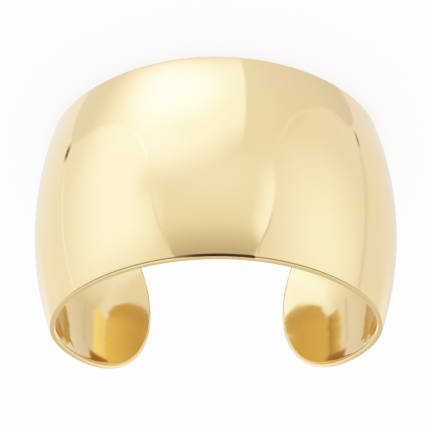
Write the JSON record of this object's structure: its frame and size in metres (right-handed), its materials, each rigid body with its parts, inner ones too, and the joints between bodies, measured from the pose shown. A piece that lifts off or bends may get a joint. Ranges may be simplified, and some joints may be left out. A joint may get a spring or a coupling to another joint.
{
  "type": "cuff bracelet",
  "caption": "Wide open cuff bracelet of polished gold-coloured metal: a gently domed oval band with rounded tips and a gap to slip over the wrist.",
  "frame": {"origin": "middle of the bracelet's box on the surface that it lies on", "axes": "+Z along the wrist, up as the cuff lies on its side; +X across the wrist, over the cuff's outside width; -Y towards the crown and +Y towards the gap between the tips"},
  "size_m": [0.0714, 0.051, 0.0542],
  "materials": {
    "polished_gold": "mirror-polished pale gold plate over brass"
  },
  "bodies": {
    "root": {"cuff_band": "polished_gold"}
  },
  "joints": []
}
